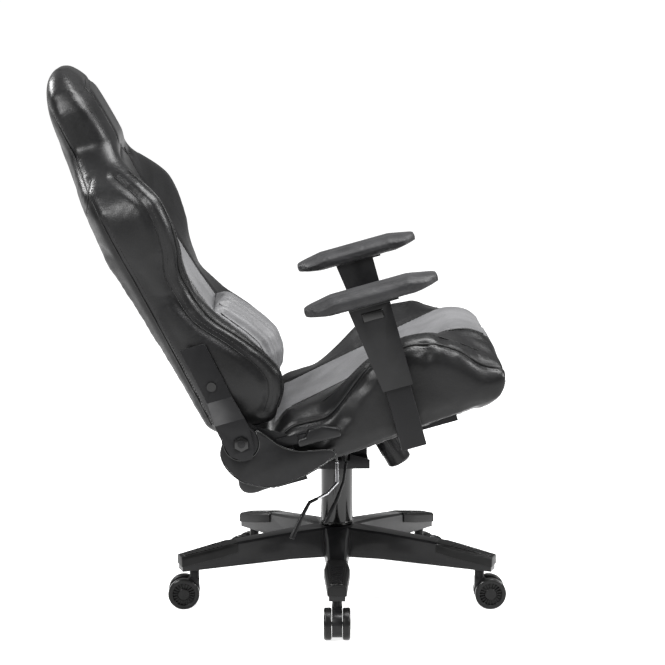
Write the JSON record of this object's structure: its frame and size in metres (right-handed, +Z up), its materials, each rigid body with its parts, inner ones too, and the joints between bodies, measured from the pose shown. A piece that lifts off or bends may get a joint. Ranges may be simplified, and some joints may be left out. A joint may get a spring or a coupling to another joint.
{
  "type": "gaming chair",
  "caption": "High-back bucket chair on a castered star base, with a gas lift, rocking seat, reclining backrest, lumbar cushion and adjustable padded arms.",
  "frame": {"origin": "point of the floor under the swivel axis", "axes": "+X the way the sitter looks, +Y to the sitter's left, +Z up; rest pose is the rocked-back pose"},
  "size_m": [0.9006, 0.71, 1.0842],
  "materials": {
    "black_nylon": "black glass-filled nylon, fine texture",
    "black_gloss": "smooth glossy black plastic",
    "wheel_plastic": "satin black wheel plastic",
    "bright_steel": "bright plated steel",
    "black_steel": "satin black powder coat",
    "black_leather": "black and grey artificial leather, satin",
    "belt_webbing": "elastic webbing",
    "pad_foam": "soft skin of moulded foam"
  },
  "bodies": {
    "base": {"star_base": "black_nylon", "leg_caps": "black_nylon", "stand_tube": "black_steel", "gas_rod": "bright_steel"},
    "column": {"column_cover": "black_gloss"},
    "swivel": {"gas_cylinder": "bright_steel", "mechanism_base": "black_steel", "tilt_pin": "bright_steel", "tension_spring": "bright_steel"},
    "lift_lever": {"lift_lever": "bright_steel", "lift_lever_grip": "black_nylon"},
    "lock_lever": {"lock_lever": "black_steel", "lock_lever_grip": "black_nylon"},
    "seat": {"mechanism_plate": "black_steel", "seat_frame": "black_steel", "seat_belts": "belt_webbing", "seat_cushion": "black_leather", "recliner_right": "black_steel", "recliner_left": "black_steel", "hinge_cover_right": "black_nylon", "hinge_cover_left": "black_nylon", "arm_bracket_right": "black_steel", "arm_bracket_left": "black_steel"},
    "knob": {"tension_knob": "black_nylon"},
    "back": {"back_frame": "black_steel", "back_cushion": "black_leather", "lumbar_cushion": "black_leather", "back_bolts": "black_steel", "back_bracket_right": "black_steel", "back_bracket_left": "black_steel"},
    "recline_lever": {"recline_lever": "black_steel", "recline_grip": "black_nylon"},
    "caster_1": {"caster_1_fork": "black_nylon", "caster_1_pins": "bright_steel"},
    "wheel_1a": {"caster_1_wheel_a": "wheel_plastic"},
    "wheel_1b": {"caster_1_wheel_b": "wheel_plastic"},
    "caster_2": {"caster_2_fork": "black_nylon", "caster_2_pins": "bright_steel"},
    "wheel_2a": {"caster_2_wheel_a": "wheel_plastic"},
    "wheel_2b": {"caster_2_wheel_b": "wheel_plastic"},
    "caster_3": {"caster_3_fork": "black_nylon", "caster_3_pins": "bright_steel"},
    "wheel_3a": {"caster_3_wheel_a": "wheel_plastic"},
    "wheel_3b": {"caster_3_wheel_b": "wheel_plastic"},
    "caster_4": {"caster_4_fork": "black_nylon", "caster_4_pins": "bright_steel"},
    "wheel_4a": {"caster_4_wheel_a": "wheel_plastic"},
    "wheel_4b": {"caster_4_wheel_b": "wheel_plastic"},
    "caster_5": {"caster_5_fork": "black_nylon", "caster_5_pins": "bright_steel"},
    "wheel_5a": {"caster_5_wheel_a": "wheel_plastic"},
    "wheel_5b": {"caster_5_wheel_b": "wheel_plastic"},
    "arm_right_height": {"arm_sleeve_right": "black_nylon"},
    "arm_right_button": {"arm_button_right": "black_gloss"},
    "arm_right_turn": {"arm_slider_right": "black_nylon"},
    "arm_right_pad": {"arm_pad_right": "pad_foam"},
    "arm_left_height": {"arm_sleeve_left": "black_nylon"},
    "arm_left_button": {"arm_button_left": "black_gloss"},
    "arm_left_turn": {"arm_slider_left": "black_nylon"},
    "arm_left_pad": {"arm_pad_left": "pad_foam"}
  },
  "joints": [
    {"name": "caster_1_swivel", "type": "hinge", "parent": "base", "child": "caster_1", "pos_m": [-0.01047, -0.29982, 0.075], "axis": [0, 0, 1], "continuous": true},
    {"name": "caster_1_wheel_a_spin", "type": "hinge", "parent": "caster_1", "child": "wheel_1a", "pos_m": [-0.0112, -0.3208, 0.031], "axis": [0.9994, -0.0349, 0], "continuous": true},
    {"name": "caster_1_wheel_b_spin", "type": "hinge", "parent": "caster_1", "child": "wheel_1b", "pos_m": [-0.0112, -0.3208, 0.031], "axis": [0.9994, -0.0349, 0], "continuous": true},
    {"name": "caster_2_swivel", "type": "hinge", "parent": "base", "child": "caster_2", "pos_m": [0.28191, -0.10261, 0.075], "axis": [0, 0, 1], "continuous": true},
    {"name": "caster_2_wheel_a_spin", "type": "hinge", "parent": "caster_2", "child": "wheel_2a", "pos_m": [0.30291, -0.10261, 0.031], "axis": [0, 1, 0], "continuous": true},
    {"name": "caster_2_wheel_b_spin", "type": "hinge", "parent": "caster_2", "child": "wheel_2b", "pos_m": [0.30291, -0.10261, 0.031], "axis": [0, 1, 0], "continuous": true},
    {"name": "caster_3_swivel", "type": "hinge", "parent": "base", "child": "caster_3", "pos_m": [0.1847, 0.2364, 0.075], "axis": [0, 0, 1], "continuous": true},
    {"name": "caster_3_wheel_a_spin", "type": "hinge", "parent": "caster_3", "child": "wheel_3a", "pos_m": [0.20289, 0.2469, 0.031], "axis": [-0.5, 0.866, 0], "continuous": true},
    {"name": "caster_3_wheel_b_spin", "type": "hinge", "parent": "caster_3", "child": "wheel_3b", "pos_m": [0.20289, 0.2469, 0.031], "axis": [-0.5, 0.866, 0], "continuous": true},
    {"name": "caster_4_swivel", "type": "hinge", "parent": "base", "child": "caster_4", "pos_m": [-0.16776, 0.24871, 0.075], "axis": [0, 0, 1], "continuous": true},
    {"name": "caster_4_wheel_a_spin", "type": "hinge", "parent": "caster_4", "child": "wheel_4a", "pos_m": [-0.18594, 0.25921, 0.031], "axis": [-0.5, -0.866, 0], "continuous": true},
    {"name": "caster_4_wheel_b_spin", "type": "hinge", "parent": "caster_4", "child": "wheel_4b", "pos_m": [-0.18594, 0.25921, 0.031], "axis": [-0.5, -0.866, 0], "continuous": true},
    {"name": "caster_5_swivel", "type": "hinge", "parent": "base", "child": "caster_5", "pos_m": [-0.28838, -0.08269, 0.075], "axis": [0, 0, 1], "continuous": true},
    {"name": "caster_5_wheel_a_spin", "type": "hinge", "parent": "caster_5", "child": "wheel_5a", "pos_m": [-0.30938, -0.08269, 0.031], "axis": [0, -1, 0], "continuous": true},
    {"name": "caster_5_wheel_b_spin", "type": "hinge", "parent": "caster_5", "child": "wheel_5b", "pos_m": [-0.30938, -0.08269, 0.031], "axis": [0, -1, 0], "continuous": true},
    {"name": "height_lift", "type": "slide", "parent": "base", "child": "column", "axis": [0, 0, 1], "range_m": [0, 0.1]},
    {"name": "seat_swivel", "type": "hinge", "parent": "column", "child": "swivel", "pos_m": [0, 0, 0.2], "axis": [0, 0, 1], "continuous": true},
    {"name": "lift_lever_pull", "type": "hinge", "parent": "swivel", "child": "lift_lever", "pos_m": [-0.004, -0.056, 0.299], "axis": [-1, 0, 0], "range_deg": [0, 10]},
    {"name": "lock_lever_throw", "type": "hinge", "parent": "swivel", "child": "lock_lever", "pos_m": [0.014, -0.056, 0.297], "axis": [-1, 0, 0], "range_deg": [0, 12]},
    {"name": "seat_tilt", "type": "hinge", "parent": "swivel", "child": "seat", "pos_m": [-0.05, 0, 0.3], "axis": [0, 1, 0], "range_deg": [0, 15.5]},
    {"name": "tension_turn", "type": "hinge", "parent": "seat", "child": "knob", "pos_m": [0.09262, 0, 0.33955], "axis": [-0.4924, 0, 0.8704], "continuous": true},
    {"name": "recline", "type": "hinge", "parent": "seat", "child": "back", "pos_m": [-0.19171, 0, 0.37693], "axis": [0, -1, 0], "range_deg": [0, 60]},
    {"name": "recline_lever_pull", "type": "hinge", "parent": "seat", "child": "recline_lever", "pos_m": [-0.11688, -0.266, 0.37277], "axis": [0, -1, 0], "range_deg": [0, 25], "stiffness_Nm_per_rad": 0.4},
    {"name": "arm_right_lift", "type": "slide", "parent": "seat", "child": "arm_right_height", "axis": [-0.2672, 0, 0.9636], "range_m": [-0.06, 0.02]},
    {"name": "arm_right_button_press", "type": "slide", "parent": "arm_right_height", "child": "arm_right_button", "axis": [0, 1, 0], "range_m": [0, 0.003], "stiffness_N_per_m": 300},
    {"name": "arm_right_swing", "type": "hinge", "parent": "arm_right_height", "child": "arm_right_turn", "pos_m": [0.05736, -0.309, 0.64629], "axis": [-0.2672, 0, 0.9636], "range_deg": [-20, 20]},
    {"name": "arm_right_slide", "type": "slide", "parent": "arm_right_turn", "child": "arm_right_pad", "axis": [0.9636, 0, 0.2672], "range_m": [-0.03, 0.03]},
    {"name": "arm_left_lift", "type": "slide", "parent": "seat", "child": "arm_left_height", "axis": [-0.2672, 0, 0.9636], "range_m": [-0.06, 0.02]},
    {"name": "arm_left_button_press", "type": "slide", "parent": "arm_left_height", "child": "arm_left_button", "axis": [0, -1, 0], "range_m": [0, 0.003], "stiffness_N_per_m": 300},
    {"name": "arm_left_swing", "type": "hinge", "parent": "arm_left_height", "child": "arm_left_turn", "pos_m": [0.05736, 0.309, 0.64629], "axis": [-0.2672, 0, 0.9636], "range_deg": [-20, 20]},
    {"name": "arm_left_slide", "type": "slide", "parent": "arm_left_turn", "child": "arm_left_pad", "axis": [0.9636, 0, 0.2672], "range_m": [-0.03, 0.03]}
  ]
}
